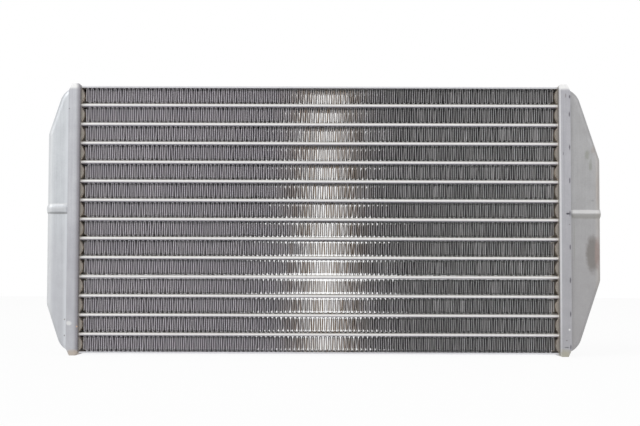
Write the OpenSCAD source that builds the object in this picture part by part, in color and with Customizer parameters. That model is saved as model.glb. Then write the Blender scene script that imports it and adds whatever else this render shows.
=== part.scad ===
// Brazed aluminium heater core: flat water tubes with corrugated fins between them, a pressed header
// plate at each end and a pressed tank cap brazed into each header plate.
// X runs along the tubes, Y from the front (-Y) to the back, and Z is up.
// The origin is at the middle of the whole core's box, on the surface that it stands on.

/* [Core] */
// Distance between the two header plates
core_w = 250; // [160:1:340]
// Number of flat tubes
tube_count = 13; // [12:1:20]
// Distance from one tube to the next
tube_pitch = 10; // [9:0.5:13]
// Gap that the brazing fills between two pieces
braze_gap = 0.05; // [0.02:0.01:0.1]

/* [Flat tubes] */
// Thickness of a tube
tube_t = 1.8; // [1.4:0.1:2.6]
// Width of a tube from front to back
tube_w = 26; // [20:1:30]
// Wall of a tube
tube_wall = 0.3; // [0.2:0.05:0.4]
// How far a tube stands into its tank
tube_reach = 2.5; // [1:0.5:3]

/* [Fins] */
// Length of one wave of the fin ribbon
fin_wave = 2.36; // [2:0.02:5]
// Sheet thickness of the fin ribbon
fin_sheet = 0.12; // [0.08:0.02:0.16]
// Width of the flat on each crest
fin_land = 0.5; // [0.4:0.05:0.7]
// How far the fins' edges lie behind the tubes' edges, front and back
fin_setback = 0.5; // [0.1:0.1:3]
// Distance from a header plate to the end of the fins
fin_margin = 2; // [2:0.5:8]

/* [Side plates] */
// Thickness of the strips above and below the fins
side_t = 0.8; // [0.6:0.1:1.5]
// How far the strips stand past the tubes, front and back
side_over = 0.5; // [0:0.1:1]

/* [Header plates] */
// Sheet thickness of a header plate
header_t = 1.4; // [1:0.1:1.5]
// Height of the folded rim, with the plate's own thickness
header_w = 6.2; // [5:0.1:9]
// How far a header plate stands past the tubes, front and back
header_rim = 3; // [2.5:0.1:6]
// How far a header plate stands past the side plates, above and below
header_over = 1.1; // [0.5:0.1:3]
// Width of the corner that is cut off the rim at each end
rim_cut_w = 1.7; // [0.5:0.1:3]
// Height of that cut corner
rim_cut_h = 3.7; // [1:0.1:6]
// Height of the domes between the tube slots
dome_h = 1.5; // [0.5:0.1:1.8]
// Flat land between a tube slot and the dome beside it
dome_land = 0.4; // [0.2:0.1:0.8]
// How far the domes reach past the tubes, front and back
dome_over = 1; // [0.5:0.1:1]

/* [Tank caps] */
// Sheet thickness of a tank cap
cap_t = 1.4; // [1:0.1:1.6]
// Radius of a cap's front and back edges
cap_edge = 2.5; // [2:0.1:4]
// Radius where the slanted ends meet the upright side
cap_corner = 6; // [5.5:0.5:12]
// How far the left cap stands out of its header plate
left_out = 10.8; // [8:0.1:25]
// Slant of the left cap's ends, in degrees from upright
left_slant = 18.4; // [18:0.4:18.8]
// Height of the left cap's slanted ends, from the header plate's end
left_slant_h = 26.4; // [22:0.2:40]
// How far the right cap stands out of its header plate
right_out = 15.6; // [14:0.1:25]
// Slant of the right cap's ends, in degrees from upright
right_slant = 18.4; // [18:0.4:18.8]
// Height of the right cap's slanted ends, from the header plate's end
right_slant_h = 39.4; // [38:0.2:43]

/* [Beads] */
// Fin row, counted from the top, that the beads lie level with
bead_row = 7; // [6:1:8]
// Width of the bead pressed into a cap
bead_w = 5; // [4:0.2:6]
// Height of the bead
bead_h = 0.6; // [0.3:0.1:0.8]
// How far the right bead lies below the middle of its fin row
right_bead_drop = 1.6; // [0:0.1:2]

/* [Baffle] */
// Sheet thickness of the baffle
baffle_t = 1.2; // [0.8:0.1:1.4]
// Width of the tab that holds the baffle in the cap
tab_w = 6; // [4:0.5:12]
// How far that tab stands out of the cap
tab_reach = 1.3; // [0.5:0.1:2]

/* [Water stubs] */
// Outer diameter of a stub
stub_d = 12; // [8:0.5:12]
// Wall of a stub
stub_wall = 1; // [0.5:0.1:2]
// Distance between the two stubs
stub_spacing = 40; // [28:1:44]
// Gap between a stub and the header plate's rim
stub_inset = 0.7; // [0.4:0.1:2]
// How far a stub stands out of the tank
stub_reach = 20; // [10:1:40]
// How far a stub stands into the tank
stub_inner = 1; // [0.5:0.1:2]
// Thickness of the collar that lies on the tank cap
collar_t = 1.5; // [1.5:0.1:3]
// How far the collar stands out round the stub
collar_over = 0.6; // [0.2:0.1:0.6]

/* [Hidden] */
$fn = 96;

// Extra length of a cut that runs out of a piece
past = 1;

// Depths from front to back
fin_w = tube_w - 2 * fin_setback;
side_w = tube_w + 2 * side_over;
header_d = tube_w + 2 * header_rim;

// Heights, counted from the middle of the core
row_count = tube_count + 1;
function tube_z(i) = ((tube_count + 1) / 2 - i) * tube_pitch;
function row_z(i) = ((row_count + 1) / 2 - i) * tube_pitch;
fin_h = tube_pitch - tube_t - 2 * braze_gap;
pack_half = row_z(1) + tube_pitch / 2 - tube_t / 2;
header_half = pack_half + side_t + header_over;
cap_half = header_half - header_t - braze_gap;
left_bead_z = row_z(bead_row);
right_bead_z = row_z(bead_row) - right_bead_drop;

// Place of the core's middle in the whole core's box
cap_d = header_d - 2 * (header_t + braze_gap);
stub_end = cap_d / 2 + stub_reach;
core_x = (left_out - right_out) / 2;
core_y = (header_d / 2 - stub_end) / 2;
core_z = header_half;

// Radius of the arc that rises by a given height over a given chord
function arc_r(chord, rise) = (chord * chord / 4 + rise * rise) / (2 * rise);

dome_c = tube_pitch - tube_t - 2 * dome_land;
dome_r = arc_r(dome_c, dome_h);
dome_d = tube_w + 2 * dome_over;
bead_r = arc_r(bead_w, bead_h);
bead_start = header_w + bead_w / 2;
cap_foot = header_t + braze_gap;

// Outer radius of the header plates' fold, whose inside stays clear of the cap's foot
header_bend = cap_foot;
stub_u = header_w + stub_inset + stub_d / 2;

// Flat stretch of a cap's wall past its rounded edge, how far the wall reaches in from its outer face,
// and how far the cap's flat face laps over it
wall_flat = 1;
wall_bar = cap_edge + wall_flat;
wall_lap = 0.5;

// Colours of the metal
TUBE_COLOUR = [0.93, 0.93, 0.92];
FIN_COLOUR = [0.55, 0.55, 0.56];
SIDE_COLOUR = [0.84, 0.84, 0.86];
HEADER_COLOUR = [0.76, 0.76, 0.80];
LEFT_CAP_COLOUR = [0.80, 0.82, 0.84];
RIGHT_CAP_COLOUR = [0.67, 0.67, 0.67];
STUB_COLOUR = [0.80, 0.80, 0.82];

function two_digits(i) = str(i < 10 ? "0" : "", i);
function tube_name(i) = str("tube_", two_digits(i));
function fin_name(i) = str("fin_", two_digits(i));

// A flat outline drawn in Y and Z, drawn out along X
module along_x(length) {
    rotate([90, 0, 90])
        linear_extrude(length, center = true)
            children();
}

// A flat outline drawn in X and Z, drawn out along Y
module along_y(length) {
    rotate([90, 0, 0])
        linear_extrude(length, center = true)
            children();
}

module in_core() {
    translate([core_x, core_y, core_z])
        children();
}

// The frame of a tank: X runs outwards from the core's face of its header plate
module right_end() {
    in_core()
        translate([core_w / 2, 0, 0])
            children();
}

module left_end() {
    in_core()
        translate([-core_w / 2, 0, 0])
            mirror([1, 0, 0])
                children();
}

module front_and_back() {
    children();
    mirror([0, 1, 0])
        children();
}

// Flat tubes

module flat_oval(width, thickness) {
    square([width - thickness, thickness], center = true);
    for (side = [-1, 1])
        translate([side * (width - thickness) / 2, 0])
            circle(d = thickness);
}

module tube(i) {
    color(TUBE_COLOUR)
        in_core()
            translate([0, 0, tube_z(i)])
                along_x(core_w + 2 * (header_t + tube_reach))
                    difference() {
                        flat_oval(tube_w, tube_t);
                        flat_oval(tube_w - 2 * tube_wall, tube_t - 2 * tube_wall);
                    }
}

// Corrugated fins

fin_waves = floor((core_w - 2 * fin_margin) / fin_wave);
fold_count = 2 * fin_waves;
function fold_x(i) = (i - fold_count / 2) * fin_wave / 2;
function crest_up(i) = i % 2 == 0;

// One face of the ribbon: its upper face with face = 1 and its lower face with face = -1
function ribbon_face(face) = [
    for (i = [0 : fold_count])
        let (
            way = crest_up(i) ? 1 : -1,
            outside = way == face,
            half = fin_land / 2 - (outside ? 0 : fin_sheet),
            z = way * (fin_h / 2 - (outside ? 0 : fin_sheet))
        )
        each [[fold_x(i) - half, z], [fold_x(i) + half, z]]
];
function backwards(list) = [for (i = [len(list) - 1 : -1 : 0]) list[i]];

module fin(i) {
    color(FIN_COLOUR)
        in_core()
            translate([0, 0, row_z(i)])
                along_y(fin_w)
                    polygon(concat(ribbon_face(1), backwards(ribbon_face(-1))));
}

module side_plate(way) {
    color(SIDE_COLOUR)
        in_core()
            translate([0, 0, way * (pack_half + side_t / 2)])
                cube([core_w - 2 * braze_gap, side_w, side_t], center = true);
}

// Header plates

// A tray's section: its two corners on the Y axis are rounded
module tray_section(width, depth, radius) {
    translate([radius, -depth / 2])
        square([width - radius, depth]);
    translate([0, radius - depth / 2])
        square([width, depth - 2 * radius]);
    for (side = [-1, 1])
        translate([radius, side * (depth / 2 - radius)])
            circle(radius);
}

module tray_block(width, depth, height, radius) {
    intersection() {
        linear_extrude(height, center = true)
            tray_section(width, depth, radius);
        along_y(depth)
            tray_section(width, height, radius);
    }
}

// The section of a dome, up to a given reach behind the plate's face
module dome_section(radius, reach) {
    intersection() {
        translate([dome_r - dome_h, 0])
            circle(radius);
        translate([-dome_h, -dome_c / 2])
            square([dome_h + reach, dome_c]);
    }
}

module at_rows() {
    for (i = [1 : row_count])
        translate([0, 0, row_z(i)])
            children();
}

module rim_corner() {
    polygon([
        [header_w - rim_cut_w, header_half],
        [header_w, header_half - rim_cut_h],
        [header_w + past, header_half - rim_cut_h],
        [header_w + past, header_half + past],
        [header_w - rim_cut_w, header_half + past]
    ]);
}

module header_plate() {
    color(HEADER_COLOUR)
        difference() {
            union() {
                tray_block(header_w, header_d, 2 * header_half, header_bend);
                at_rows()
                    along_y(dome_d)
                        dome_section(dome_r, header_t / 2);
            }
            translate([header_t, 0, 0])
                tray_block(
                    header_w,
                    header_d - 2 * header_t,
                    2 * (header_half - header_t),
                    header_bend - header_t
                );
            at_rows()
                along_y(dome_d - 2 * header_t)
                    dome_section(dome_r - header_t, header_t + past);
            for (i = [1 : tube_count])
                translate([header_t / 2, 0, tube_z(i)])
                    along_x(header_t + 2 * past)
                        flat_oval(tube_w + 2 * braze_gap, tube_t + 2 * braze_gap);
            along_y(header_d + past) {
                rim_corner();
                mirror([0, 1])
                    rim_corner();
            }
        }
}

// Tank caps

// Centre of the arc between the upright side and the slanted end
function corner_at(out, slant, slant_h) = [
    header_w + out - cap_corner,
    header_half - slant_h - cap_corner * tan(slant / 2)
];

// Radius of the shoulder's arc, which leaves the slanted end and is level at the cap's foot
function shoulder_r(out, slant, slant_h) =
    ((header_w + out - cap_foot) * cos(slant) + (header_half - slant_h - cap_half) * sin(slant))
    / (1 - sin(slant));

// The cap's face, as far inside its outline as the rounded wall reaches, and a little over it
module cap_face(corner, slant, radius) {
    shoulder = [cap_foot, cap_half - radius];
    small = cap_corner - wall_bar + wall_lap;
    large = radius - wall_bar + wall_lap;
    side = [cos(slant), sin(slant)];
    upper = [
        corner + [small, 0],
        corner + small * side,
        shoulder + large * side,
        shoulder + [0, large]
    ];
    intersection() {
        union() {
            polygon(concat(upper, [for (p = backwards(upper)) [p.x, -p.y]]));
            for (way = [-1, 1]) {
                translate([corner.x, way * corner.y])
                    circle(small);
                translate([shoulder.x, way * shoulder.y])
                    circle(large);
            }
        }
        translate([cap_foot, -header_half])
            square([corner.x + cap_corner, 2 * header_half]);
    }
}

// The filled section of the cap's rim, with its outer face on the Y axis
module rim_section(radius, depth, width) {
    intersection() {
        union() {
            translate([-width, -depth / 2])
                square([width - radius, depth]);
            translate([-width, radius - depth / 2])
                square([width, depth - 2 * radius]);
            for (side = [-1, 1])
                translate([-radius, side * (depth / 2 - radius)])
                    circle(radius);
        }
        translate([-width, -depth / 2])
            square([width, depth]);
    }
}

module wall_section() {
    difference() {
        rim_section(cap_edge, cap_d, wall_bar);
        translate([-cap_t, 0])
            rim_section(cap_edge - cap_t, cap_d - 2 * cap_t, wall_bar);
    }
}

// The wall's section swept round an arc that starts level and turns upwards
module wall_arc(radius, angle) {
    rotate([90, 0, 0])
        rotate_extrude(angle = angle)
            translate([radius, 0])
                wall_section();
}

// The wall's section along a straight stretch that starts here and runs upwards
module wall_run(length) {
    linear_extrude(length)
        wall_section();
}

// The upper half of the wall: upright side, corner, slanted end and shoulder
module cap_wall(corner, slant, radius) {
    turn = [cos(slant), sin(slant)];
    slant_run = norm([cap_foot, cap_half - radius] + radius * turn - corner - cap_corner * turn);
    translate([corner.x + cap_corner, 0, 0])
        wall_run(corner.y);
    translate([corner.x, 0, corner.y]) {
        wall_arc(cap_corner, slant);
        rotate([0, -slant, 0]) {
            translate([cap_corner, 0, 0])
                wall_run(slant_run);
            translate([cap_corner - radius, 0, slant_run])
                wall_arc(radius, 90 - slant);
        }
    }
}

// The bead's section on a wall whose outer face is the Y axis, down to a given depth in the wall
module bead_section(radius, depth) {
    intersection() {
        translate([bead_h - bead_r, 0])
            circle(radius);
        translate([-depth, -bead_w / 2])
            square([depth + bead_h, bead_w]);
    }
}

// The bead round the cap's front, side and back, or with a smaller radius the hollow behind it
module bead(out, z, radius, depth) {
    edge_u = header_w + out - cap_edge;
    translate([edge_u + cap_edge, 0, z])
        along_y(cap_d - 2 * cap_edge)
            bead_section(radius, depth);
    front_and_back() {
        translate([edge_u, cap_d / 2 - cap_edge, z])
            rotate_extrude(angle = 90)
                translate([cap_edge, 0])
                    bead_section(radius, depth);
        translate([(bead_start + edge_u) / 2, cap_d / 2, z])
            along_x(edge_u - bead_start)
                bead_section(radius, depth);
        intersection() {
            translate([bead_start, cap_d / 2 + bead_h - bead_r, z])
                sphere(radius);
            translate([bead_start - bead_w, cap_d / 2 - depth, z - bead_w / 2])
                cube([bead_w, depth + bead_h, bead_w]);
        }
    }
}

module cap_shell(out, slant, slant_h, bead_z) {
    corner = corner_at(out, slant, slant_h);
    radius = shoulder_r(out, slant, slant_h);
    difference() {
        union() {
            front_and_back()
                translate([0, (cap_d - cap_t) / 2, 0])
                    along_y(cap_t)
                        cap_face(corner, slant, radius);
            cap_wall(corner, slant, radius);
            mirror([0, 0, 1])
                cap_wall(corner, slant, radius);
            bead(out, bead_z, bead_r, cap_t / 2);
        }
        bead(out, bead_z, bead_r - cap_t, cap_t + bead_h);
    }
}

module tank_cap_left() {
    color(LEFT_CAP_COLOUR)
        left_end()
            cap_shell(left_out, left_slant, left_slant_h, left_bead_z);
}

// Heights of the two stubs, as seen from the baffle between them
function stub_z(way) = right_bead_z + way * stub_spacing / 2;

module tank_cap_right() {
    color(RIGHT_CAP_COLOUR)
        right_end()
            difference() {
                cap_shell(right_out, right_slant, right_slant_h, right_bead_z);
                for (way = [-1, 1])
                    translate([stub_u, cap_d / 2, stub_z(way)])
                        rotate([90, 0, 0])
                            cylinder(h = 2 * cap_t + past, d = stub_d + 2 * braze_gap, center = true);
                translate([header_w + right_out, 0, right_bead_z])
                    cube(
                        [2 * cap_t + past, tab_w + 2 * braze_gap, baffle_t + 2 * braze_gap],
                        center = true
                    );
            }
}

// Baffle

// How deep the hollow of the bead or of a dome still is at a given height from its middle
function hollow_at(radius, z) = sqrt(radius * radius - z * z);

module baffle() {
    inner_u = header_w + right_out - cap_t - braze_gap;
    inner_y = cap_d / 2 - cap_t - braze_gap;
    corner_r = cap_edge - cap_t - braze_gap;
    tongue = cap_t + hollow_at(bead_r - cap_t, baffle_t / 2) + bead_h - bead_r;
    nose_z = row_z(bead_row) - right_bead_z + baffle_t / 2;
    nose_u = dome_r - dome_h - hollow_at(dome_r - header_t, nose_z) + braze_gap;
    nose_y = dome_d / 2 - header_t - braze_gap;
    color(HEADER_COLOUR)
        right_end()
            translate([0, 0, right_bead_z])
                linear_extrude(baffle_t, center = true) {
                    translate([inner_u, 0])
                        rim_section(corner_r, 2 * inner_y, inner_u - cap_foot);
                    translate([inner_u + tongue, 0])
                        rim_section(
                            corner_r + tongue,
                            2 * (inner_y + tongue),
                            inner_u + tongue - bead_start
                        );
                    translate([nose_u, -nose_y])
                        square([header_w, 2 * nose_y]);
                    translate([header_w, -tab_w / 2])
                        square([right_out + tab_reach, tab_w]);
                }
}

// Water stubs

module water_stub(way) {
    start = cap_d / 2 - cap_t - stub_inner;
    color(STUB_COLOUR)
        right_end()
            translate([stub_u, start, stub_z(way)])
                rotate([-90, 0, 0])
                    difference() {
                        union() {
                            cylinder(h = stub_end - start, d = stub_d);
                            translate([0, 0, cap_d / 2 + braze_gap - start])
                                cylinder(h = collar_t, d = stub_d + 2 * collar_over);
                        }
                        translate([0, 0, -past])
                            cylinder(h = stub_end - start + 2 * past, d = stub_d - 2 * stub_wall);
                    }
}

for (i = [1 : tube_count])
    tube(i);
for (i = [1 : row_count])
    fin(i);
side_plate(1);  // side_plate_top
side_plate(-1);  // side_plate_bottom
left_end() header_plate();  // header_plate_left
right_end() header_plate();  // header_plate_right
tank_cap_left();
tank_cap_right();
baffle();
water_stub(-1);  // water_inlet
water_stub(1);  // water_outlet
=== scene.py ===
"""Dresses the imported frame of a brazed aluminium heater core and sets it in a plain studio."""

import logging
import math
import random
from dataclasses import dataclass, field
from enum import Enum

import bpy
import numpy as np
from mathutils import Matrix, Vector

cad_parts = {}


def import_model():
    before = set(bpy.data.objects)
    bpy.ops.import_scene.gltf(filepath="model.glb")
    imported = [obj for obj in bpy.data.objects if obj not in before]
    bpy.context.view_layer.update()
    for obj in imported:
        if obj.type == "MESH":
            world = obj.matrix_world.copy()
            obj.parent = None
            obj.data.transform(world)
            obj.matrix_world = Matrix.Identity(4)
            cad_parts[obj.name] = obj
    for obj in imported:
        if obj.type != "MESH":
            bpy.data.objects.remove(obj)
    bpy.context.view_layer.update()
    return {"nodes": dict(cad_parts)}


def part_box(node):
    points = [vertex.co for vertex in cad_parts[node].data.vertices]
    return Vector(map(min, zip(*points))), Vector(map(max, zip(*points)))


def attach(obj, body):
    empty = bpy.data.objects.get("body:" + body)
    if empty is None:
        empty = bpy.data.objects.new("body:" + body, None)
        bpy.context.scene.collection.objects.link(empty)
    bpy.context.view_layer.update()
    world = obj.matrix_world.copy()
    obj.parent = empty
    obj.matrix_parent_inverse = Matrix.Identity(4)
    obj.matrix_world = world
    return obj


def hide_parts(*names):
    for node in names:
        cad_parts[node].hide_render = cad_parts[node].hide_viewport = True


LOG = logging.getLogger("heater_core")
MM = 0.001

Colour = tuple[float, float, float]
Point = tuple[float, float, float]


# Shader maths


class Operation(Enum):
    """Math node operations that the finishes use."""

    ADD = "ADD"
    SUBTRACT = "SUBTRACT"
    MULTIPLY = "MULTIPLY"
    DIVIDE = "DIVIDE"
    POWER = "POWER"
    MAXIMUM = "MAXIMUM"
    MINIMUM = "MINIMUM"
    LESS = "LESS_THAN"
    GREATER = "GREATER_THAN"
    ABSOLUTE = "ABSOLUTE"
    ROOT = "SQRT"
    FRACTION = "FRACT"


class Value:
    """A number that varies over a surface. Python's operators add Math nodes."""

    def __init__(self, shader: "Shader", socket: bpy.types.NodeSocket) -> None:
        """Wraps an output socket of one shader.

        Args:
            shader: The shader that the socket belongs to.
            socket: The output socket.
        """
        self.shader = shader
        self.socket = socket

    def _math(self, operation: Operation, a: "Value | float", b: "Value | float" = 0.0) -> "Value":
        """Adds one Math node.

        Args:
            operation: What the node works out.
            a: First operand.
            b: Second operand.

        Returns:
            The node's result.
        """
        node = self.shader.node("ShaderNodeMath", {"operation": operation.value}, {0: a, 1: b})
        return Value(self.shader, node.outputs[0])

    def __add__(self, other: "Value | float") -> "Value":
        """Sum."""
        return self._math(Operation.ADD, self, other)

    __radd__ = __add__

    def __sub__(self, other: "Value | float") -> "Value":
        """Difference."""
        return self._math(Operation.SUBTRACT, self, other)

    def __rsub__(self, other: float) -> "Value":
        """Difference from a plain number."""
        return self._math(Operation.SUBTRACT, other, self)

    def __mul__(self, other: "Value | float") -> "Value":
        """Product."""
        return self._math(Operation.MULTIPLY, self, other)

    __rmul__ = __mul__

    def __truediv__(self, other: "Value | float") -> "Value":
        """Quotient."""
        return self._math(Operation.DIVIDE, self, other)

    def __pow__(self, other: float) -> "Value":
        """Power."""
        return self._math(Operation.POWER, self, other)

    def __lt__(self, other: float) -> "Value":
        """1 where the value is below a limit, otherwise 0."""
        return self._math(Operation.LESS, self, other)

    def __gt__(self, other: float) -> "Value":
        """1 where the value is above a limit, otherwise 0."""
        return self._math(Operation.GREATER, self, other)

    def __abs__(self) -> "Value":
        """Size without the sign."""
        return self._math(Operation.ABSOLUTE, self)

    def root(self) -> "Value":
        """Square root."""
        return self._math(Operation.ROOT, self)

    def fraction(self) -> "Value":
        """Part after the decimal point."""
        return self._math(Operation.FRACTION, self)

    def either(self, other: "Value | float") -> "Value":
        """The larger of two values."""
        return self._math(Operation.MAXIMUM, self, other)

    def both(self, other: "Value | float") -> "Value":
        """The smaller of two values."""
        return self._math(Operation.MINIMUM, self, other)

    def ramp(self, low: float, high: float) -> "Value":
        """Smooth step.

        Args:
            low: Input at which the step starts from 0.
            high: Input at which it reaches 1. It may be below low.

        Returns:
            A value from 0 to 1.
        """
        node = self.shader.node(
            "ShaderNodeMapRange",
            {"interpolation_type": "SMOOTHSTEP", "clamp": True},
            {"Value": self, "From Min": low, "From Max": high, "To Min": 0.0, "To Max": 1.0},
        )
        return Value(self.shader, node.outputs["Result"])


class Shader:
    """A procedural material, with the node calls that the finishes share."""

    def __init__(self, name: str) -> None:
        """Starts an empty material.

        Args:
            name: The material's name.
        """
        self.material = bpy.data.materials.new(name)
        self.material.use_nodes = True
        self.tree = self.material.node_tree
        self.tree.nodes.clear()
        self.output = self.tree.nodes.new("ShaderNodeOutputMaterial")
        self.place = self.node("ShaderNodeTexCoord").outputs["Object"]
        axes = self.node("ShaderNodeSeparateXYZ", {}, {"Vector": self.place})
        self.x, self.y, self.z = (Value(self, axes.outputs[i]) for i in range(3))

    def node(
        self, kind: str, settings: dict[str, object] | None = None, sockets: dict | None = None
    ) -> bpy.types.Node:
        """Adds a node.

        Args:
            kind: The node's type.
            settings: The node's own settings, which are set first.
            sockets: Values or links of its input sockets, by name or number.

        Returns:
            The new node.
        """
        node = self.tree.nodes.new(kind)
        for key, setting in (settings or {}).items():
            setattr(node, key, setting)
        for key, value in (sockets or {}).items():
            if isinstance(value, Value):
                value = value.socket
            if isinstance(value, bpy.types.NodeSocket):
                self.tree.links.new(value, node.inputs[key])
            elif value is not None:
                node.inputs[key].default_value = value
        return node

    def noise(
        self, size: float, detail: float = 2.0, stretch: Point = (1.0, 1.0, 1.0), seed: float = 0.0
    ) -> Value:
        """Cloudy noise in the part's own space.

        Args:
            size: Length of one cloud, in metres.
            detail: Octaves of finer noise.
            stretch: How much longer the clouds are along X, Y and Z.
            seed: Shift that gives another pattern.

        Returns:
            A value around 0.5.
        """
        scale = tuple(1.0 / (size * s) for s in stretch)
        mapping = self.node(
            "ShaderNodeMapping",
            {},
            {"Vector": self.place, "Scale": scale, "Location": (seed, seed * 0.7, seed * 1.3)},
        )
        node = self.node(
            "ShaderNodeTexNoise",
            {},
            {"Vector": mapping.outputs[0], "Scale": 1.0, "Detail": detail, "Roughness": 0.55},
        )
        return Value(self, node.outputs[0])

    def mix(self, factor: Value | float, a: object, b: object) -> bpy.types.NodeSocket:
        """Mixes two colours.

        Args:
            factor: Share of the second colour.
            a: First colour, as a tuple or a socket.
            b: Second colour.

        Returns:
            The mixed colour's socket.
        """
        node = self.node(
            "ShaderNodeMix",
            {"data_type": "RGBA", "clamp_factor": True},
            {"Factor": factor},
        )
        for socket, colour in ((node.inputs[6], a), (node.inputs[7], b)):
            if isinstance(colour, bpy.types.NodeSocket):
                self.tree.links.new(colour, socket)
            else:
                socket.default_value = (*colour, 1.0)
        return node.outputs[2]

    def bump(self, height: Value, strength: float, distance: float) -> bpy.types.NodeSocket:
        """Turns a height into a bumped normal.

        Args:
            height: The height, from 0 to 1.
            strength: Share of the effect.
            distance: Height in metres that 1 stands for.

        Returns:
            The normal's socket.
        """
        node = self.node(
            "ShaderNodeBump", {}, {"Strength": strength, "Distance": distance, "Height": height}
        )
        return node.outputs["Normal"]

    def finish(self, sockets: dict[str, object]) -> bpy.types.Material:
        """Ends the material in a Principled surface.

        Args:
            sockets: Values or links of the surface's sockets.

        Returns:
            The material.
        """
        surface = self.node("ShaderNodeBsdfPrincipled", {}, sockets)
        self.tree.links.new(surface.outputs[0], self.output.inputs["Surface"])
        return self.material


# Finishes


@dataclass(frozen=True)
class Mark:
    """A stain, scuff or clinch mark, or a painted highlight or shade, on a front face, in millimetres."""

    x: float
    z: float
    half_x: float
    half_z: float
    colour: Colour
    strength: float = 0.8
    soft: float = 0.5
    ragged: float = 0.25

    def mask(self, shader: Shader, wobble: Value) -> Value:
        """Where the mark lies.

        Args:
            shader: The shader that the mark is drawn in.
            wobble: Noise that breaks up the mark's outline.

        Returns:
            1 inside the mark, 0 outside.
        """
        across = (shader.x - self.x * MM) / (self.half_x * MM)
        up = (shader.z - self.z * MM) / (self.half_z * MM)
        distance = (across * across + up * up).root() + (wobble - 0.5) * (4 * self.ragged)
        return distance.ramp(1.0 + self.soft, 1.0 - self.soft) * self.strength


@dataclass(frozen=True)
class Tint:
    """A colour that comes in gradually along X or Z, in millimetres."""

    axis: str
    low: float
    high: float
    colour: Colour
    strength: float = 1.0
    patchy: float = 0.9

    def share(self, shader: Shader, cloud: Value) -> Value:
        """How much of the tint lies at each place.

        Args:
            shader: The shader that the tint is drawn in.
            cloud: Noise that makes the tint patchy.

        Returns:
            The tint's share.
        """
        position: Value = getattr(shader, self.axis)
        patches = cloud * self.patchy + (1 - self.patchy / 2)
        return position.ramp(self.low * MM, self.high * MM) * patches * self.strength


@dataclass(frozen=True)
class PaintedShadePocket:
    """The header plate's face beside the fins: dark painted shade at the domes' front ends, paler painted
    light deeper in between the fins.
    """

    outside: float
    inside: float
    # ends is the painted shade colour at the domes' front ends, between the painted light colour deeper in
    ends: Colour = (0.29, 0.265, 0.235)
    between: Colour = (0.98, 0.88, 0.76)
    front: float = -23.1
    behind: float = -22.2

    def over(self, shader: Shader, colour: bpy.types.NodeSocket) -> bpy.types.NodeSocket:
        """Lays the pocket's painted shade and painted light over a colour.

        Args:
            shader: The shader that it is drawn in.
            colour: The plate's colour.

        Returns:
            The colour with its pocket.
        """
        # Painted shade at the front of the pocket, painted light further in
        deep = shader.y.ramp(self.front * MM, self.behind * MM)
        own = shader.mix(deep, self.ends, self.between)
        return shader.mix(shader.x.ramp(self.outside * MM, self.inside * MM), colour, own)


@dataclass(frozen=True)
class PaintedShadeFlanks:
    """Darker painted shade on the flanks above and below the bright nose of each flat tube, whose bright
    colour is a painted highlight, in millimetres.
    """

    first: float
    pitch: float
    above: Colour
    below: Colour
    start: float = 0.2
    end: float = 0.7

    def over(self, shader: Shader, colour: bpy.types.NodeSocket) -> bpy.types.NodeSocket:
        """Lays the flanks' painted shade over a colour.

        Args:
            shader: The shader that they are drawn in.
            colour: The nose's colour.

        Returns:
            The colour with its flanks.
        """
        turns = (shader.z - (self.first - self.pitch / 2) * MM) / (self.pitch * MM)
        height = (turns.fraction() - 0.5) * self.pitch
        # Painted shade above and below the nose, which keeps a painted highlight
        colour = shader.mix(height.ramp(self.start, self.end), colour, self.above)
        return shader.mix(height.ramp(-self.start, -self.end), colour, self.below)


@dataclass(frozen=True)
class SheetFinish:
    """Brazed aluminium sheet: matt, faintly mottled, with drawn streaks, its own marks and some painted
    highlights and shade.
    """

    name: str
    colour: Colour
    deep: Colour
    mottle: float = 0.35
    streak: float = 0.25
    streak_along: Point = (1.0, 1.0, 30.0)
    metallic: float = 0.55
    roughness: float = 0.46
    bump_height: float = 0.06
    seed: float = 0.0
    marks: tuple[Mark, ...] = ()
    tints: tuple[Tint, ...] = ()
    layer: PaintedShadePocket | PaintedShadeFlanks | None = None

    def material(self) -> bpy.types.Material:
        """Builds the finish.

        Returns:
            The material.
        """
        shader = Shader(self.name)
        cloud = shader.noise(9 * MM, 4.0, seed=self.seed)
        grain = shader.noise(0.7 * MM, 3.0, seed=self.seed + 3)
        streak = shader.noise(0.8 * MM, 2.0, self.streak_along, self.seed + 5)
        tone = (cloud - 0.5) * (2 * self.mottle) + (grain - 0.5) * self.mottle
        tone = tone + (streak - 0.5) * (2 * self.streak) + 0.5
        colour = shader.mix(tone, self.colour, self.deep)
        for tint in self.tints:
            colour = shader.mix(tint.share(shader, cloud), colour, tint.colour)
        if self.layer:
            colour = self.layer.over(shader, colour)
        wobble = shader.noise(1.6 * MM, 3.0, seed=self.seed + 9)
        front = shader.y.ramp(-17 * MM, -19 * MM)
        # Stains and clinch marks, and painted highlights and shade on the beads and folds
        for mark in self.marks:
            colour = shader.mix(mark.mask(shader, wobble) * front, colour, mark.colour)
        rough = (grain - 0.5) * 0.3 + (cloud - 0.5) * 0.2 + self.roughness
        height = grain * 0.5 + streak * 0.3 + cloud * 0.5
        return shader.finish(
            {
                "Base Color": colour,
                "Metallic": self.metallic,
                "Roughness": rough,
                "Normal": shader.bump(height, 0.35, self.bump_height * MM),
            }
        )


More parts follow.
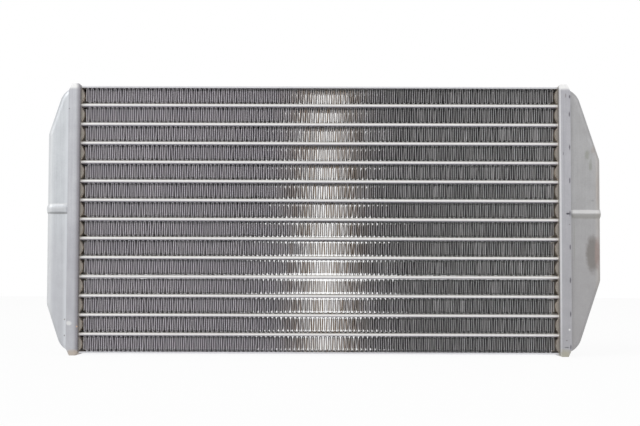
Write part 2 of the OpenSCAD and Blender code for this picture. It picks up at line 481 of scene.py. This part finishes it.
@dataclass(frozen=True)
class FinFinish:
    """Thin fin stock: grey, with painted light and shade that differ from leg to leg and change from the left
    end to the right one, painted highlights on the edges and at the foot of each row, painted shade at the top
    of each row, and bright, warm painted light near the middle.
    """

    name: str
    left: tuple[Colour, Colour]
    right: tuple[Colour, Colour]
    bright: Colour
    warm: Colour
    shade: Colour
    lit: Colour
    edge: Colour
    lit_band_half: float = 30.0
    row_pitch: float = 10.0
    row_start: float = 1.0
    middle: float = -9.27
    half_depth: float = 12.5

    def material(self) -> bpy.types.Material:
        """Builds the finish.

        Returns:
            The material.
        """
        shader = Shader(self.name)
        turns = (shader.z - self.row_start * MM) / (self.row_pitch * MM)
        row = turns - turns.fraction()
        height = (turns.fraction() - 0.5) * self.row_pitch
        # One tone of painted light and shade for the whole height of a leg, different in each row
        spot = shader.node("ShaderNodeCombineXYZ", {}, {"X": shader.x / (0.6 * MM), "Z": row * 7.3})
        stripes = {"Vector": spot.outputs[0], "Scale": 1.0, "Detail": 1.0}
        leg = Value(shader, shader.node("ShaderNodeTexNoise", {}, stripes).outputs[0])
        cloud = shader.noise(14 * MM, 3.0, seed=8.0)
        grain = shader.noise(0.5 * MM, 2.0, seed=2.0)
        # Painted light and shade: stronger contrast between legs, and darker legs, towards the right end
        end = shader.x.ramp(-15 * MM, 45 * MM)
        tone = (leg - 0.5) * (end * 3.2 + 2.2) + (cloud - 0.5) * 0.8 + (grain - 0.5) * 0.4 + 0.5
        tone = tone + end * 0.42
        light, dark = (shader.mix(end, a, b) for a, b in zip(self.left, self.right))
        colour = shader.mix(tone, light, dark)
        # Painted highlight along the fins' front and back edges, stronger towards the right
        off = abs(shader.y - self.middle * MM)
        rim = off.ramp((self.half_depth - 1.2) * MM, (self.half_depth - 0.1) * MM)
        colour = shader.mix(rim * (0.25 + end * 0.5), colour, self.edge)
        # Painted light in spots at the foot of each row, where the troughs face up
        lit_spots = shader.noise(1.5 * MM, 0.0, (1.0, 20.0, 1.0), 11.0).ramp(0.62, 0.70)
        colour = shader.mix(height.ramp(-3.0, -3.9) * (0.45 + lit_spots * 0.5), colour, self.lit)
        # Bright, warm painted light where one sees through the fins near the middle
        near = abs(shader.x - 1.2 * MM).ramp(self.lit_band_half * MM, 2 * MM)
        warmth = (leg - 0.5) * 8.0 + (cloud - 0.5) * 1.0 + 0.42
        band_light = shader.mix(warmth, self.bright, self.warm)
        colour = shader.mix(near * 0.9, colour, band_light)
        dim = abs(shader.x - 1.2 * MM).ramp(70 * MM, 25 * MM) * 0.5 + 0.22
        colour = shader.mix(height.ramp(2.8, 3.8) * dim, colour, self.shade)
        return shader.finish(
            {
                "Base Color": colour,
                "Metallic": 0.55,
                "Roughness": 0.42 + (grain - 0.5) * 0.3,
                "Normal": shader.bump(grain, 0.25, 0.03 * MM),
            }
        )


# Meshes


@dataclass
class MeshMaker:
    """Gathers vertices and faces, then makes one mesh object of them."""

    name: str
    vertices: list[np.ndarray] = field(default_factory=list)
    faces: list[np.ndarray] = field(default_factory=list)
    count: int = 0

    def add(self, vertices: np.ndarray, quads: np.ndarray) -> None:
        """Adds a batch of faces with their own vertices.

        Args:
            vertices: Points, one row each.
            quads: Four vertex numbers a row, counted from the batch's first vertex.
        """
        self.vertices.append(vertices)
        self.faces.append(quads + self.count)
        self.count += len(vertices)

    def make(self, material: bpy.types.Material, smooth_below: float = 40.0) -> bpy.types.Object:
        """Makes the object.

        Args:
            material: Its material.
            smooth_below: Angle in degrees under which two faces are shaded as one.

        Returns:
            The new object.
        """
        vertices = np.concatenate(self.vertices)
        quads = np.concatenate(self.faces)
        mesh = bpy.data.meshes.new(self.name)
        mesh.vertices.add(len(vertices))
        mesh.vertices.foreach_set("co", vertices.astype(np.float32).ravel())
        mesh.loops.add(quads.size)
        mesh.loops.foreach_set("vertex_index", quads.astype(np.int32).ravel())
        mesh.polygons.add(len(quads))
        mesh.polygons.foreach_set("loop_start", np.arange(0, quads.size, 4, dtype=np.int32))
        mesh.polygons.foreach_set("use_smooth", np.ones(len(quads), dtype=bool))
        mesh.update(calc_edges=True)
        mesh.validate()
        mesh.set_sharp_from_angle(angle=math.radians(smooth_below))
        mesh.materials.append(material)
        piece = bpy.data.objects.new(self.name, mesh)
        bpy.context.scene.collection.objects.link(piece)
        return piece


# Sub-assemblies


@dataclass
class FinRow:
    """One corrugated ribbon: rounded folds joined by louvred legs, all of thin sheet."""

    index: int
    wave: float = 2.36 * MM
    sheet: float = 0.1 * MM
    fold_r: float = 0.5 * MM
    fold_steps: int = 5
    stay: float = 0.6 * MM
    louvres: int = 6
    louvre_turn: float = 24.0
    edge_strip: float = 1.4 * MM
    middle_strip: float = 1.6 * MM
    jitter: float = 0.05 * MM
    end_gap: float = 0.42 * MM

    @property
    def node(self) -> str:
        """Name of the CAD node that the ribbon stands for."""
        return f"fin_{self.index:02d}"

    def fold_places(self, low: float, high: float) -> np.ndarray:
        """Where the folds lie along the ribbon.

        Args:
            low: Lowest X that the ribbon may reach.
            high: Highest X.

        Returns:
            X of each fold, from left to right.
        """
        draw = np.random.default_rng(700 + self.index)
        margin = self.end_gap - self.fold_r
        count = int((high - low - 2 * margin) / (self.wave / 2))
        x = np.linspace(low + margin, high - margin, count + 1)
        phase = np.linspace(0, 1, count + 1)
        sway = sum(
            amount * np.sin(2 * math.pi * (turns * phase + draw.random()))
            for turns, amount in ((4, 0.25 * MM), (13, 0.06 * MM), (29, 0.05 * MM))
        )
        rough = draw.normal(0, self.jitter, count + 1)
        calm = np.minimum(1, np.minimum(np.arange(count + 1), np.arange(count, -1, -1)) / 6)
        return x + (sway + np.clip(rough, -2 * self.jitter, 2 * self.jitter)) * calm

    def build(self, material: bpy.types.Material) -> bpy.types.Object:
        """Builds the ribbon inside its CAD node's box.

        Args:
            material: The fin stock's material.

        Returns:
            The ribbon.
        """
        low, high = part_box(self.node)
        maker = MeshMaker(f"fin_ribbon_{self.index:02d}")
        x = self.fold_places(low.x, high.x)
        draw = np.random.default_rng(900 + self.index)
        middle = (low.z + high.z) / 2
        reach = (high.z - low.z) / 2 - self.sheet / 2 - self.fold_r
        reach = reach - np.abs(np.clip(draw.normal(0, 0.06 * MM, len(x)), -0.15 * MM, 0.15 * MM))
        up = np.where((np.arange(len(x)) + draw.integers(2)) % 2 == 0, 1.0, -1.0)
        centre = np.stack([x, middle + up * reach], axis=1)
        step = centre[1:] - centre[:-1]
        span = np.hypot(step[:, 0], step[:, 1])
        # Angle at which a leg leaves the fold on its left, measured from level
        tilt = np.arccos(2 * self.fold_r / span) - np.arctan2(np.abs(step[:, 1]), step[:, 0])
        normal = np.stack([np.cos(tilt), up[:-1] * np.sin(tilt)], axis=1)
        start = centre[:-1] + self.fold_r * normal
        end = centre[1:] - self.fold_r * normal
        self._add_folds(maker, centre, up, tilt, start, end, low.y, high.y)
        self._add_legs(maker, start, end, normal, low.y, high.y)
        return maker.make(material)

    def _add_folds(
        self,
        maker: MeshMaker,
        centre: np.ndarray,
        up: np.ndarray,
        tilt: np.ndarray,
        start: np.ndarray,
        end: np.ndarray,
        front: float,
        back: float,
    ) -> None:
        """Adds the rounded folds, each with a short stretch of its two legs.

        Args:
            maker: Gathers the faces.
            centre: X and Z of each fold's centre.
            up: 1 for a crest, -1 for a trough.
            tilt: Tilt of each leg.
            start: Where each leg leaves the fold on its left.
            end: Where it reaches the fold on its right.
            front: Y of the ribbon's front edge.
            back: Y of its back edge.
        """
        half = self.sheet / 2
        along = (end - start) / np.linalg.norm(end - start, axis=1, keepdims=True)
        for i in range(1, len(centre) - 1):
            first, last = math.pi - tilt[i - 1], tilt[i]
            angles = np.linspace(first, last, self.fold_steps + 1)
            ring = np.stack([np.cos(angles), up[i] * np.sin(angles)], axis=1)
            line = centre[i] + self.fold_r * ring
            line = np.vstack([line[0] - self.stay * along[i - 1], line, line[-1] + self.stay * along[i]])
            ring = np.vstack([ring[0], ring, ring[-1]])
            outer, inner = line + half * ring, line - half * ring
            section = np.vstack([outer, inner[::-1]])
            self._extrude(maker, section, len(line), front, back, up[i] > 0)

    @staticmethod
    def _extrude(
        maker: MeshMaker, section: np.ndarray, side: int, front: float, back: float, flip: bool
    ) -> None:
        """Adds a strip of sheet with a given section, drawn out from front to back.

        Args:
            maker: Gathers the faces.
            section: Outline in X and Z: one side of the sheet, then the other backwards.
            side: Number of points on one side.
            front: Y of the front edge.
            back: Y of the back edge.
            flip: Turns the faces round, so that they look outwards.
        """
        n = len(section)
        points = np.zeros((2 * n, 3))
        points[:n, 0], points[:n, 2], points[:n, 1] = section[:, 0], section[:, 1], front
        points[n:, 0], points[n:, 2], points[n:, 1] = section[:, 0], section[:, 1], back
        around = np.arange(n)
        nxt = (around + 1) % n
        walls = np.stack([around, nxt, nxt + n, around + n], axis=1)
        k = np.arange(side - 1)
        cap = np.stack([k, n - 1 - k, n - 2 - k, k + 1], axis=1)
        quads = np.vstack([walls, cap, cap[:, ::-1] + n])
        maker.add(points, quads[:, ::-1] if flip else quads)

    def _add_legs(
        self,
        maker: MeshMaker,
        start: np.ndarray,
        end: np.ndarray,
        normal: np.ndarray,
        front: float,
        back: float,
    ) -> None:
        """Adds each leg as flat strips at front, middle and back, with turned louvres between them.

        Args:
            maker: Gathers the faces.
            start: Where each leg starts.
            end: Where it ends.
            normal: The leg's unit normal in X and Z.
            front: Y of the front edge.
            back: Y of the back edge.
        """
        lap = 0.03 * MM
        length = np.linalg.norm(end - start, axis=1)
        along = (end - start) / length[:, None]
        half_length = length / 2 - self.stay + lap
        middle = (start + end) / 2
        bank = (back - front - 2 * self.edge_strip - self.middle_strip) / 2
        pitch = bank / self.louvres
        slats = [
            (front + self.edge_strip / 2, self.edge_strip / 2, 0.0),
            ((front + back) / 2, self.middle_strip / 2, 0.0),
            (back - self.edge_strip / 2, self.edge_strip / 2, 0.0),
        ]
        turn = math.radians(self.louvre_turn)
        for k in range(self.louvres):
            near = front + self.edge_strip + (k + 0.5) * pitch
            slats.append((near, pitch * 0.46, turn))
            slats.append((front + back - near, pitch * 0.46, -turn))
        corners = np.array([(-1, -1), (1, -1), (1, 1), (-1, 1)], float)
        box = np.array(
            [[0, 1, 2, 3], [7, 6, 5, 4], [0, 4, 5, 1], [1, 5, 6, 2], [2, 6, 7, 3], [3, 7, 4, 0]]
        )
        for y, half_width, angle in slats:
            wide = corners[:, 1] * half_width
            thick = corners[:, 0] * self.sheet / 2
            out = thick * math.cos(angle) + wide * math.sin(angle)
            deep = wide * math.cos(angle) - thick * math.sin(angle)
            points = np.zeros((len(middle), 8, 3))
            for row, sign in ((0, -1), (4, 1)):
                base = middle + sign * half_length[:, None] * along
                for c in range(4):
                    points[:, row + c, 0] = base[:, 0] + out[c] * normal[:, 0]
                    points[:, row + c, 2] = base[:, 1] + out[c] * normal[:, 1]
                    points[:, row + c, 1] = y + deep[c]
            offsets = np.arange(len(middle))[:, None, None] * 8
            maker.add(points.reshape(-1, 3), (box[None] + offsets).reshape(-1, 4))


@dataclass
class FinPack:
    """All rows of fins."""

    rows: int = 14
    finish: FinFinish = FinFinish(
        "fin_stock",
        # Light and dark leg colours at each end: painted light and shade on the legs
        left=((0.93, 0.905, 0.93), (0.77, 0.745, 0.785)),
        right=((0.93, 0.915, 0.92), (0.27, 0.26, 0.27)),
        # Bright and warm colours of the painted light near the middle
        bright=(1.0, 0.99, 0.99),
        warm=(0.64, 0.51, 0.38),
        shade=(0.30, 0.29, 0.31),
        # Colour of the painted light at the foot of each row
        lit=(0.97, 0.965, 0.96),
        # Colour of the painted highlight on the fin edges
        edge=(0.97, 0.965, 0.96),
    )

    def build(self) -> None:
        """Builds each ribbon, lets it ride and hides its plain CAD node."""
        material = self.finish.material()
        for index in range(1, self.rows + 1):
            row = FinRow(index)
            piece = row.build(material)
            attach(piece, "root")
            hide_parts(row.node)
            LOG.info("%s: %d faces", piece.name, len(piece.data.polygons))


@dataclass
class SheetPart:
    """CAD nodes that keep their shape and share a finish."""

    nodes: tuple[str, ...]
    finish: SheetFinish

    def dress(self, nodes: dict[str, bpy.types.Object]) -> None:
        """Gives each node the finish.

        Args:
            nodes: The frame's CAD objects, by name.
        """
        material = self.finish.material()
        for name in self.nodes:
            mesh = nodes[name].data
            mesh.materials.clear()
            mesh.materials.append(material)
            LOG.info("%s: %s", name, self.finish.name)


DARK = (0.05, 0.045, 0.06)
SOOT = (0.16, 0.14, 0.13)
BROWN = (0.30, 0.24, 0.19)
OLIVE = (0.42, 0.40, 0.30)
PALE = (0.85, 0.85, 0.84)


def seam_ticks() -> tuple[Mark, ...]:
    """Clinch marks, evenly spaced along the right rim's outer edge."""
    first, spacing = 4.9, 17.35
    return tuple(Mark(128.2, first + k * spacing, 0.35, 1.3, DARK, 0.7, 0.5, 0.2) for k in range(8))


RIGHT_RIM_MARKS_AND_HIGHLIGHT = seam_ticks() + (
    # Painted highlight along the rim's fold
    Mark(123.4, 75.0, 0.5, 75.0, (0.66, 0.66, 0.67), 0.85, 0.5, 0.06),
    Mark(125.2, 103.0, 0.22, 24.0, (0.34, 0.34, 0.36), 0.6, 0.6, 0.1),
    Mark(127.1, 74.3, 0.9, 0.45, DARK, 0.95, 0.5, 0.15),
    Mark(127.9, 68.7, 0.4, 0.25, SOOT, 0.6),
    Mark(124.9, 105.7, 0.18, 0.9, DARK, 0.6),
    Mark(126.3, 136.1, 0.3, 0.9, SOOT, 0.5),
    Mark(128.4, 135.6, 0.35, 0.8, DARK, 0.7),
    Mark(126.2, 4.9, 1.2, 0.3, DARK, 0.6),
    Mark(127.6, 14.1, 0.5, 0.5, PALE, 0.8),
    Mark(126.2, 8.5, 0.5, 0.3, SOOT, 0.6),
    Mark(125.6, 1.4, 3.4, 2.0, OLIVE, 0.7, 0.6, 0.4),
)
LEFT_RIM_MARKS = (
    Mark(-133.2, 128.7, 0.25, 0.25, DARK, 0.7),
    Mark(-132.2, 16.8, 1.3, 1.1, PALE, 0.6),
    Mark(-128.0, 15.0, 0.4, 0.4, (0.75, 0.5, 0.3), 0.7),
    Mark(-130.0, 1.2, 3.4, 1.6, (0.50, 0.42, 0.33), 0.65, 0.6, 0.4),
)
RIGHT_CAP_MARKS_AND_BEAD_LIGHT = (
    # Painted highlight along the top of the rib bead, painted shade under it
    Mark(138.0, 75.4, 22.0, 0.95, (0.66, 0.655, 0.655), 0.85, 0.3, 0.1),
    Mark(138.0, 72.9, 18.0, 1.1, (0.29, 0.285, 0.26), 0.5, 0.5, 0.15),
    Mark(142.9, 87.0, 0.7, 9.0, (0.40, 0.36, 0.33), 0.5, 0.6, 0.2),
    Mark(130.6, 60.0, 0.3, 12.0, (0.30, 0.30, 0.28), 0.5, 0.6, 0.3),
    Mark(140.3, 81.2, 0.7, 0.45, (0.27, 0.27, 0.27), 0.6, 0.6, 0.2),
    Mark(137.6, 105.2, 1.1, 2.2, (0.27, 0.28, 0.24), 0.6, 0.7, 0.4),
    Mark(139.3, 99.6, 0.8, 2.6, (0.27, 0.28, 0.24), 0.6, 0.7, 0.4),
    Mark(140.7, 107.7, 0.9, 1.6, BROWN, 0.4, 0.8, 0.4),
    Mark(140.1, 53.4, 3.4, 9.0, (0.17, 0.155, 0.14), 0.7, 0.3, 0.12),
    Mark(142.6, 53.8, 1.4, 7.6, (0.36, 0.27, 0.25), 0.5, 0.4, 0.2),
)
LEFT_CAP_MARKS_AND_BEAD_LIGHT = (
    # Painted light on the rib bead: a highlight along its top, shade along its underside and a darker painted
    # tone between them
    Mark(-138.4, 78.6, 9.0, 0.55, (0.78, 0.79, 0.80), 0.5, 0.5, 0.15),
    Mark(-138.2, 74.05, 6.5, 0.6, (0.22, 0.225, 0.225), 0.7, 0.5, 0.12),
    Mark(-138.6, 76.3, 4.6, 0.9, (0.54, 0.54, 0.55), 0.5, 0.6, 0.2),
    Mark(-134.6, 18.6, 0.3, 0.4, SOOT, 0.7),
    Mark(-134.6, 10.3, 0.3, 0.4, SOOT, 0.7),
)

SHEET_PARTS = (
    SheetPart(
        tuple(f"tube_{i:02d}" for i in range(1, 14)),
        SheetFinish(
            "tube_sheet",
            colour=(0.93, 0.92, 0.90),
            deep=(0.80, 0.79, 0.79),
            mottle=0.3,
            streak=0.1,
            streak_along=(20.0, 1.0, 1.0),
            metallic=0.25,
            roughness=0.45,
            seed=1.0,
            # Bright tube colour as a painted highlight on the nose, with painted shade on the flanks
            layer=PaintedShadeFlanks(11.0, 10.0, above=(0.50, 0.49, 0.46), below=(0.42, 0.41, 0.46)),
        ),
    ),
    SheetPart(
        ("side_plate_top", "side_plate_bottom"),
        SheetFinish(
            "side_sheet",
            colour=(0.80, 0.80, 0.82),
            deep=(0.58, 0.58, 0.61),
            streak_along=(30.0, 1.0, 1.0),
            seed=2.0,
        ),
    ),
    SheetPart(
        ("header_plate_left",),
        SheetFinish(
            "left_header_sheet",
            colour=(0.62, 0.63, 0.65),
            deep=(0.42, 0.42, 0.46),
            mottle=0.5,
            streak=0.35,
            seed=3.0,
            marks=LEFT_RIM_MARKS,
            tints=(
                Tint("z", 95.0, 40.0, (0.42, 0.42, 0.45), 0.5),
                # Painted highlight along the top edge
                Tint("z", 138.6, 140.4, (0.93, 0.93, 0.92), 0.9, 0.3),
                # Painted shade on the fold, which faces away from the key lamp
                Tint("x", -130.2, -127.6, (0.24, 0.23, 0.25), 0.95, 0.3),
            ),
            # Painted shade and painted light in the pocket beside the fins
            layer=PaintedShadePocket(outside=-127.7, inside=-127.1),
        ),
    ),
    SheetPart(
        ("header_plate_right", "baffle"),
        SheetFinish(
            "right_header_sheet",
            colour=(0.50, 0.495, 0.52),
            deep=(0.37, 0.37, 0.40),
            mottle=0.5,
            streak=0.35,
            seed=4.0,
            marks=RIGHT_RIM_MARKS_AND_HIGHLIGHT,
            tints=(
                Tint("z", 95.0, 40.0, (0.36, 0.355, 0.37), 0.5),
                # Painted highlight along the top edge
                Tint("z", 138.6, 140.4, (0.93, 0.93, 0.92), 0.9, 0.3),
            ),
            # Painted shade and painted light in the pocket beside the fins
            layer=PaintedShadePocket(outside=123.1, inside=122.5),
        ),
    ),
    SheetPart(
        ("tank_cap_left",),
        SheetFinish(
            "left_cap_sheet_painted_lit",
            # Lighter colour as painted light: the lit copy of the cap sheet
            colour=(0.66, 0.685, 0.71),
            deep=(0.50, 0.52, 0.545),
            mottle=0.5,
            streak=0.5,
            seed=5.0,
            marks=LEFT_CAP_MARKS_AND_BEAD_LIGHT,
            tints=(
                Tint("z", 90.0, 40.0, (0.48, 0.48, 0.51), 0.5),
                # Painted highlight on the outer edge, which faces the key lamp
                Tint("x", -140.0, -143.8, (0.76, 0.77, 0.78), 0.6, 0.3),
                Tint("x", -136.2, -134.4, (0.74, 0.76, 0.79), 0.6, 0.3),
            ),
        ),
    ),
    SheetPart(
        ("tank_cap_right",),
        SheetFinish(
            "right_cap_sheet_painted_shade",
            # Darker colour as painted shade: the shaded copy of the cap sheet
            colour=(0.455, 0.455, 0.46),
            deep=(0.34, 0.335, 0.34),
            mottle=0.5,
            streak=0.3,
            seed=6.0,
            marks=RIGHT_CAP_MARKS_AND_BEAD_LIGHT,
            tints=(
                Tint("z", 90.0, 40.0, (0.35, 0.34, 0.345), 0.6),
                Tint("x", 140.5, 143.5, (0.44, 0.41, 0.38), 0.5),
            ),
        ),
    ),
    SheetPart(
        ("water_inlet", "water_outlet"),
        SheetFinish(
            "stub_sheet",
            colour=(0.66, 0.66, 0.68),
            deep=(0.50, 0.50, 0.53),
            streak_along=(1.0, 20.0, 1.0),
            seed=7.0,
        ),
    ),
)


# Studio


@dataclass(frozen=True)
class Softbox:
    """A soft lamp that faces the core."""

    name: str
    place: Point
    size: float
    watts: float
    colour: Colour = (1.0, 1.0, 1.0)

    def build(self, target: Vector) -> None:
        """Hangs the lamp.

        Args:
            target: The point that it faces.
        """
        data = bpy.data.lights.new(self.name, "AREA")
        data.shape = "SQUARE"
        data.size = self.size
        data.energy = self.watts
        data.color = self.colour
        lamp = bpy.data.objects.new(self.name, data)
        lamp.location = self.place
        lamp.rotation_euler = (target - Vector(self.place)).to_track_quat("-Z", "Y").to_euler()
        bpy.context.scene.collection.objects.link(lamp)


@dataclass
class Studio:
    """White surroundings, a pale floor, soft lamps and the photograph's camera."""

    ambient: float = 0.66
    floor_half: float = 2.5
    floor_colour: Colour = (0.9, 0.9, 0.9)
    floor_glow: float = 0.92
    eye: Point = (0.5 * MM, -725.3 * MM, 39.0 * MM)
    yaw: float = 0.197
    pitch: float = 2.887
    roll: float = 0.168
    focal_px: float = 1346.0
    image_width: int = 640
    sensor: float = 36.0
    lamps: tuple[Softbox, ...] = (
        Softbox("key_lamp", (-1.1, -1.2, 1.3), 1.2, 12.0),
        Softbox("fill_lamp", (1.3, -1.5, 0.5), 1.2, 3.0),
    )

    def build(self) -> None:
        """Builds the surroundings in order."""
        self._surroundings()
        self._floor()
        for lamp in self.lamps:
            lamp.build(Vector((0.0, 0.0, 0.07)))
        self._camera()
        bpy.context.scene.view_settings.view_transform = "Standard"

    def _surroundings(self) -> None:
        """Lights everything evenly, and shows white to the camera and in reflections."""
        world = bpy.data.worlds.new("surroundings")
        world.use_nodes = True
        bpy.context.scene.world = world
        tree = world.node_tree
        tree.nodes.clear()
        background = tree.nodes.new("ShaderNodeBackground")
        background.inputs["Color"].default_value = (1.0, 1.0, 1.0, 1.0)
        output = tree.nodes.new("ShaderNodeOutputWorld")
        strength = self._seen(tree, self.ambient, 1.0)
        tree.links.new(strength, background.inputs["Strength"])
        tree.links.new(background.outputs[0], output.inputs["Surface"])

    @staticmethod
    def _seen(tree: bpy.types.NodeTree, unseen: float, seen: float) -> bpy.types.NodeSocket:
        """A number that differs between rays that are looked along and rays that light.

        Args:
            tree: The node tree to add to.
            unseen: The number for light.
            seen: The number for camera, glossy and transmission rays.

        Returns:
            The number's socket.
        """
        path = tree.nodes.new("ShaderNodeLightPath")
        rays = [path.outputs[n] for n in ("Is Camera Ray", "Is Glossy Ray", "Is Transmission Ray")]
        total = rays[0]
        for ray in rays[1:]:
            larger = tree.nodes.new("ShaderNodeMath")
            larger.operation = "MAXIMUM"
            tree.links.new(total, larger.inputs[0])
            tree.links.new(ray, larger.inputs[1])
            total = larger.outputs[0]
        scaled = tree.nodes.new("ShaderNodeMath")
        scaled.operation = "MULTIPLY_ADD"
        tree.links.new(total, scaled.inputs[0])
        scaled.inputs[1].default_value = seen - unseen
        scaled.inputs[2].default_value = unseen
        return scaled.outputs[0]

    def _floor(self) -> None:
        """Lays the pale floor, which glows to the camera and keeps the core's shadow."""
        shader = Shader("floor_paper")
        fibre = shader.noise(30 * MM, 3.0, seed=1.5)
        colour = shader.mix(fibre * 0.15, self.floor_colour, (0.86, 0.86, 0.86))
        paper = shader.node(
            "ShaderNodeBsdfDiffuse", {}, {"Color": colour, "Roughness": 0.5}
        )
        glow = shader.node("ShaderNodeEmission", {}, {"Color": (1, 1, 1, 1), "Strength": 1.0})
        share = self._seen(shader.tree, 0.0, self.floor_glow)
        blend = shader.node("ShaderNodeMixShader", {}, {0: share})
        shader.tree.links.new(paper.outputs[0], blend.inputs[1])
        shader.tree.links.new(glow.outputs[0], blend.inputs[2])
        shader.tree.links.new(blend.outputs[0], shader.output.inputs["Surface"])
        maker = MeshMaker("floor")
        half = self.floor_half
        steps = np.linspace(-half, half, 9)
        grid = np.array([(x, y, 0.0) for y in steps for x in steps])
        n = len(steps)
        cells = [
            (r * n + c, r * n + c + 1, (r + 1) * n + c + 1, (r + 1) * n + c)
            for r in range(n - 1)
            for c in range(n - 1)
        ]
        maker.add(grid, np.array(cells))
        maker.make(shader.material)

    def _camera(self) -> None:
        """Sets up the camera where the photograph was taken from."""
        yaw, pitch, roll = (math.radians(a) for a in (self.yaw, self.pitch, self.roll))
        ahead = Vector(
            (
                -math.sin(yaw) * math.cos(pitch),
                math.cos(yaw) * math.cos(pitch),
                math.sin(pitch),
            )
        )
        level = Vector((math.cos(yaw), math.sin(yaw), 0.0))
        upright = level.cross(ahead)
        right = level * math.cos(roll) + upright * math.sin(roll)
        up = upright * math.cos(roll) - level * math.sin(roll)
        data = bpy.data.cameras.new("camera")
        data.sensor_width = self.sensor
        data.lens = self.focal_px / self.image_width * self.sensor
        data.clip_start = 0.01
        data.clip_end = 20.0
        camera = bpy.data.objects.new("camera", data)
        turn = Matrix((right, up, -ahead)).transposed().to_4x4()
        camera.matrix_world = Matrix.Translation(self.eye) @ turn
        bpy.context.scene.collection.objects.link(camera)
        bpy.context.scene.camera = camera


def main() -> None:
    """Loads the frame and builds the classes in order."""
    logging.basicConfig(level=logging.INFO, format="%(name)s: %(message)s")
    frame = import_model()
    Studio().build()
    LOG.info("studio")
    for part in SHEET_PARTS:
        part.dress(frame["nodes"])
    FinPack().build()


if __name__ == "__main__":
    main()
